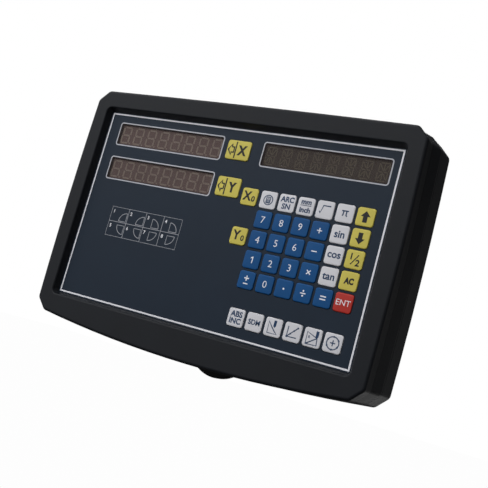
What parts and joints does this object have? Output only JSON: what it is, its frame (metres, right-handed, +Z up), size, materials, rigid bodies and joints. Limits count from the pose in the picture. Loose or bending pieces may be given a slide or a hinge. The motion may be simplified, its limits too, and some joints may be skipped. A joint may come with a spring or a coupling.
{
  "type": "digital readout console",
  "caption": "Two-axis digital readout console for a milling machine or lathe: black case, display windows, colour-coded keypad and a tilting rear arm flange.",
  "frame": {"origin": "centre of the rear face of the round arm flange, level with the tilt pivot", "axes": "+X to the user's right, +Y away from the user through the flange, +Z up; the printed panel faces -Y"},
  "size_m": [0.3008, 0.067, 0.2089],
  "materials": {
    "case_plastic": "fine-grained black ABS",
    "overlay_film": "dark blue-grey printed film, satin",
    "smoked_window": "smoked acrylic, smooth",
    "digit_module_plastic": "dark grey display face",
    "switch_plastic": "black moulding",
    "circuit_board": "green solder mask",
    "plated_steel": "zinc plated",
    "inlet_plastic": "black moulding",
    "rocker_plastic": "black, smooth",
    "brass": "turned",
    "black_casting": "black powder coat",
    "knob_plastic": "black phenolic",
    "screw_steel": "zinc plated",
    "key_yellow": "satin yellow with black print",
    "key_white": "satin white with blue print",
    "key_blue": "satin blue with white print",
    "key_red": "satin red with white print"
  },
  "bodies": {
    "arm": {"arm_flange": "black_casting"},
    "console": {"front_bezel": "case_plastic", "front_overlay": "overlay_film", "display_windows": "smoked_window", "digit_modules": "digit_module_plastic", "key_switches": "switch_plastic", "main_board": "circuit_board", "rear_shell": "case_plastic", "power_supply": "circuit_board", "scale_sockets": "plated_steel", "power_inlet": "inlet_plastic", "switch_body": "inlet_plastic", "ground_terminal": "brass", "mount_plate": "black_casting", "pivot_bolt": "plated_steel", "case_screws": "screw_steel", "inner_screws": "screw_steel"},
    "knob": {"clamp_knob": "knob_plastic"},
    "fuse_tray": {"fuse_drawer": "inlet_plastic"},
    "power_rocker": {"switch_rocker": "rocker_plastic"},
    "cap_x": {"key_x": "key_yellow"},
    "cap_y": {"key_y": "key_yellow"},
    "cap_x_zero": {"key_x_zero": "key_yellow"},
    "cap_y_zero": {"key_y_zero": "key_yellow"},
    "cap_calculator": {"key_calculator": "key_white"},
    "cap_arc": {"key_arc": "key_white"},
    "cap_units": {"key_units": "key_white"},
    "cap_root": {"key_root": "key_white"},
    "cap_pi": {"key_pi": "key_white"},
    "cap_up": {"key_up": "key_yellow"},
    "cap_7": {"key_7": "key_blue"},
    "cap_8": {"key_8": "key_blue"},
    "cap_9": {"key_9": "key_blue"},
    "cap_plus": {"key_plus": "key_blue"},
    "cap_sin": {"key_sin": "key_white"},
    "cap_down": {"key_down": "key_yellow"},
    "cap_4": {"key_4": "key_blue"},
    "cap_5": {"key_5": "key_blue"},
    "cap_6": {"key_6": "key_blue"},
    "cap_minus": {"key_minus": "key_blue"},
    "cap_cos": {"key_cos": "key_white"},
    "cap_half": {"key_half": "key_yellow"},
    "cap_1": {"key_1": "key_blue"},
    "cap_2": {"key_2": "key_blue"},
    "cap_3": {"key_3": "key_blue"},
    "cap_times": {"key_times": "key_blue"},
    "cap_tan": {"key_tan": "key_white"},
    "cap_clear": {"key_clear": "key_yellow"},
    "cap_sign": {"key_sign": "key_blue"},
    "cap_0": {"key_0": "key_blue"},
    "cap_point": {"key_point": "key_blue"},
    "cap_divide": {"key_divide": "key_blue"},
    "cap_equals": {"key_equals": "key_blue"},
    "cap_enter": {"key_enter": "key_red"},
    "cap_datum_mode": {"key_datum_mode": "key_white"},
    "cap_datum_memory": {"key_datum_memory": "key_white"},
    "cap_arc_cut": {"key_arc_cut": "key_white"},
    "cap_hole_line": {"key_hole_line": "key_white"},
    "cap_slope_cut": {"key_slope_cut": "key_white"},
    "cap_hole_circle": {"key_hole_circle": "key_white"}
  },
  "joints": [
    {"name": "tilt", "type": "hinge", "parent": "arm", "child": "console", "pos_m": [0, -0.0205, 0], "axis": [1, 0, 0], "range_deg": [-20, 15]},
    {"name": "knob_turn", "type": "hinge", "parent": "console", "child": "knob", "pos_m": [0, -0.0205, 0], "axis": [1, 0, 0], "continuous": true},
    {"name": "fuse_pull", "type": "slide", "parent": "console", "child": "fuse_tray", "axis": [0, 1, 0], "range_m": [0, 0.012]},
    {"name": "power_rock", "type": "hinge", "parent": "console", "child": "power_rocker", "pos_m": [0.116, -0.0175, 0.016], "axis": [1, 0, 0], "range_deg": [-24, 0]},
    {"name": "press_x", "type": "slide", "parent": "console", "child": "cap_x", "axis": [0, 1, 0], "range_m": [0, 0.0005], "stiffness_N_per_m": 400, "springref_m": -0.002},
    {"name": "press_y", "type": "slide", "parent": "console", "child": "cap_y", "axis": [0, 1, 0], "range_m": [0, 0.0005], "stiffness_N_per_m": 400, "springref_m": -0.002},
    {"name": "press_x_zero", "type": "slide", "parent": "console", "child": "cap_x_zero", "axis": [0, 1, 0], "range_m": [0, 0.0005], "stiffness_N_per_m": 400, "springref_m": -0.002},
    {"name": "press_y_zero", "type": "slide", "parent": "console", "child": "cap_y_zero", "axis": [0, 1, 0], "range_m": [0, 0.0005], "stiffness_N_per_m": 400, "springref_m": -0.002},
    {"name": "press_calculator", "type": "slide", "parent": "console", "child": "cap_calculator", "axis": [0, 1, 0], "range_m": [0, 0.0005], "stiffness_N_per_m": 400, "springref_m": -0.002},
    {"name": "press_arc", "type": "slide", "parent": "console", "child": "cap_arc", "axis": [0, 1, 0], "range_m": [0, 0.0005], "stiffness_N_per_m": 400, "springref_m": -0.002},
    {"name": "press_units", "type": "slide", "parent": "console", "child": "cap_units", "axis": [0, 1, 0], "range_m": [0, 0.0005], "stiffness_N_per_m": 400, "springref_m": -0.002},
    {"name": "press_root", "type": "slide", "parent": "console", "child": "cap_root", "axis": [0, 1, 0], "range_m": [0, 0.0005], "stiffness_N_per_m": 400, "springref_m": -0.002},
    {"name": "press_pi", "type": "slide", "parent": "console", "child": "cap_pi", "axis": [0, 1, 0], "range_m": [0, 0.0005], "stiffness_N_per_m": 400, "springref_m": -0.002},
    {"name": "press_up", "type": "slide", "parent": "console", "child": "cap_up", "axis": [0, 1, 0], "range_m": [0, 0.0005], "stiffness_N_per_m": 400, "springref_m": -0.002},
    {"name": "press_7", "type": "slide", "parent": "console", "child": "cap_7", "axis": [0, 1, 0], "range_m": [0, 0.0005], "stiffness_N_per_m": 400, "springref_m": -0.002},
    {"name": "press_8", "type": "slide", "parent": "console", "child": "cap_8", "axis": [0, 1, 0], "range_m": [0, 0.0005], "stiffness_N_per_m": 400, "springref_m": -0.002},
    {"name": "press_9", "type": "slide", "parent": "console", "child": "cap_9", "axis": [0, 1, 0], "range_m": [0, 0.0005], "stiffness_N_per_m": 400, "springref_m": -0.002},
    {"name": "press_plus", "type": "slide", "parent": "console", "child": "cap_plus", "axis": [0, 1, 0], "range_m": [0, 0.0005], "stiffness_N_per_m": 400, "springref_m": -0.002},
    {"name": "press_sin", "type": "slide", "parent": "console", "child": "cap_sin", "axis": [0, 1, 0], "range_m": [0, 0.0005], "stiffness_N_per_m": 400, "springref_m": -0.002},
    {"name": "press_down", "type": "slide", "parent": "console", "child": "cap_down", "axis": [0, 1, 0], "range_m": [0, 0.0005], "stiffness_N_per_m": 400, "springref_m": -0.002},
    {"name": "press_4", "type": "slide", "parent": "console", "child": "cap_4", "axis": [0, 1, 0], "range_m": [0, 0.0005], "stiffness_N_per_m": 400, "springref_m": -0.002},
    {"name": "press_5", "type": "slide", "parent": "console", "child": "cap_5", "axis": [0, 1, 0], "range_m": [0, 0.0005], "stiffness_N_per_m": 400, "springref_m": -0.002},
    {"name": "press_6", "type": "slide", "parent": "console", "child": "cap_6", "axis": [0, 1, 0], "range_m": [0, 0.0005], "stiffness_N_per_m": 400, "springref_m": -0.002},
    {"name": "press_minus", "type": "slide", "parent": "console", "child": "cap_minus", "axis": [0, 1, 0], "range_m": [0, 0.0005], "stiffness_N_per_m": 400, "springref_m": -0.002},
    {"name": "press_cos", "type": "slide", "parent": "console", "child": "cap_cos", "axis": [0, 1, 0], "range_m": [0, 0.0005], "stiffness_N_per_m": 400, "springref_m": -0.002},
    {"name": "press_half", "type": "slide", "parent": "console", "child": "cap_half", "axis": [0, 1, 0], "range_m": [0, 0.0005], "stiffness_N_per_m": 400, "springref_m": -0.002},
    {"name": "press_1", "type": "slide", "parent": "console", "child": "cap_1", "axis": [0, 1, 0], "range_m": [0, 0.0005], "stiffness_N_per_m": 400, "springref_m": -0.002},
    {"name": "press_2", "type": "slide", "parent": "console", "child": "cap_2", "axis": [0, 1, 0], "range_m": [0, 0.0005], "stiffness_N_per_m": 400, "springref_m": -0.002},
    {"name": "press_3", "type": "slide", "parent": "console", "child": "cap_3", "axis": [0, 1, 0], "range_m": [0, 0.0005], "stiffness_N_per_m": 400, "springref_m": -0.002},
    {"name": "press_times", "type": "slide", "parent": "console", "child": "cap_times", "axis": [0, 1, 0], "range_m": [0, 0.0005], "stiffness_N_per_m": 400, "springref_m": -0.002},
    {"name": "press_tan", "type": "slide", "parent": "console", "child": "cap_tan", "axis": [0, 1, 0], "range_m": [0, 0.0005], "stiffness_N_per_m": 400, "springref_m": -0.002},
    {"name": "press_clear", "type": "slide", "parent": "console", "child": "cap_clear", "axis": [0, 1, 0], "range_m": [0, 0.0005], "stiffness_N_per_m": 400, "springref_m": -0.002},
    {"name": "press_sign", "type": "slide", "parent": "console", "child": "cap_sign", "axis": [0, 1, 0], "range_m": [0, 0.0005], "stiffness_N_per_m": 400, "springref_m": -0.002},
    {"name": "press_0", "type": "slide", "parent": "console", "child": "cap_0", "axis": [0, 1, 0], "range_m": [0, 0.0005], "stiffness_N_per_m": 400, "springref_m": -0.002},
    {"name": "press_point", "type": "slide", "parent": "console", "child": "cap_point", "axis": [0, 1, 0], "range_m": [0, 0.0005], "stiffness_N_per_m": 400, "springref_m": -0.002},
    {"name": "press_divide", "type": "slide", "parent": "console", "child": "cap_divide", "axis": [0, 1, 0], "range_m": [0, 0.0005], "stiffness_N_per_m": 400, "springref_m": -0.002},
    {"name": "press_equals", "type": "slide", "parent": "console", "child": "cap_equals", "axis": [0, 1, 0], "range_m": [0, 0.0005], "stiffness_N_per_m": 400, "springref_m": -0.002},
    {"name": "press_enter", "type": "slide", "parent": "console", "child": "cap_enter", "axis": [0, 1, 0], "range_m": [0, 0.0005], "stiffness_N_per_m": 400, "springref_m": -0.002},
    {"name": "press_datum_mode", "type": "slide", "parent": "console", "child": "cap_datum_mode", "axis": [0, 1, 0], "range_m": [0, 0.0005], "stiffness_N_per_m": 400, "springref_m": -0.002},
    {"name": "press_datum_memory", "type": "slide", "parent": "console", "child": "cap_datum_memory", "axis": [0, 1, 0], "range_m": [0, 0.0005], "stiffness_N_per_m": 400, "springref_m": -0.002},
    {"name": "press_arc_cut", "type": "slide", "parent": "console", "child": "cap_arc_cut", "axis": [0, 1, 0], "range_m": [0, 0.0005], "stiffness_N_per_m": 400, "springref_m": -0.002},
    {"name": "press_hole_line", "type": "slide", "parent": "console", "child": "cap_hole_line", "axis": [0, 1, 0], "range_m": [0, 0.0005], "stiffness_N_per_m": 400, "springref_m": -0.002},
    {"name": "press_slope_cut", "type": "slide", "parent": "console", "child": "cap_slope_cut", "axis": [0, 1, 0], "range_m": [0, 0.0005], "stiffness_N_per_m": 400, "springref_m": -0.002},
    {"name": "press_hole_circle", "type": "slide", "parent": "console", "child": "cap_hole_circle", "axis": [0, 1, 0], "range_m": [0, 0.0005], "stiffness_N_per_m": 400, "springref_m": -0.002}
  ]
}
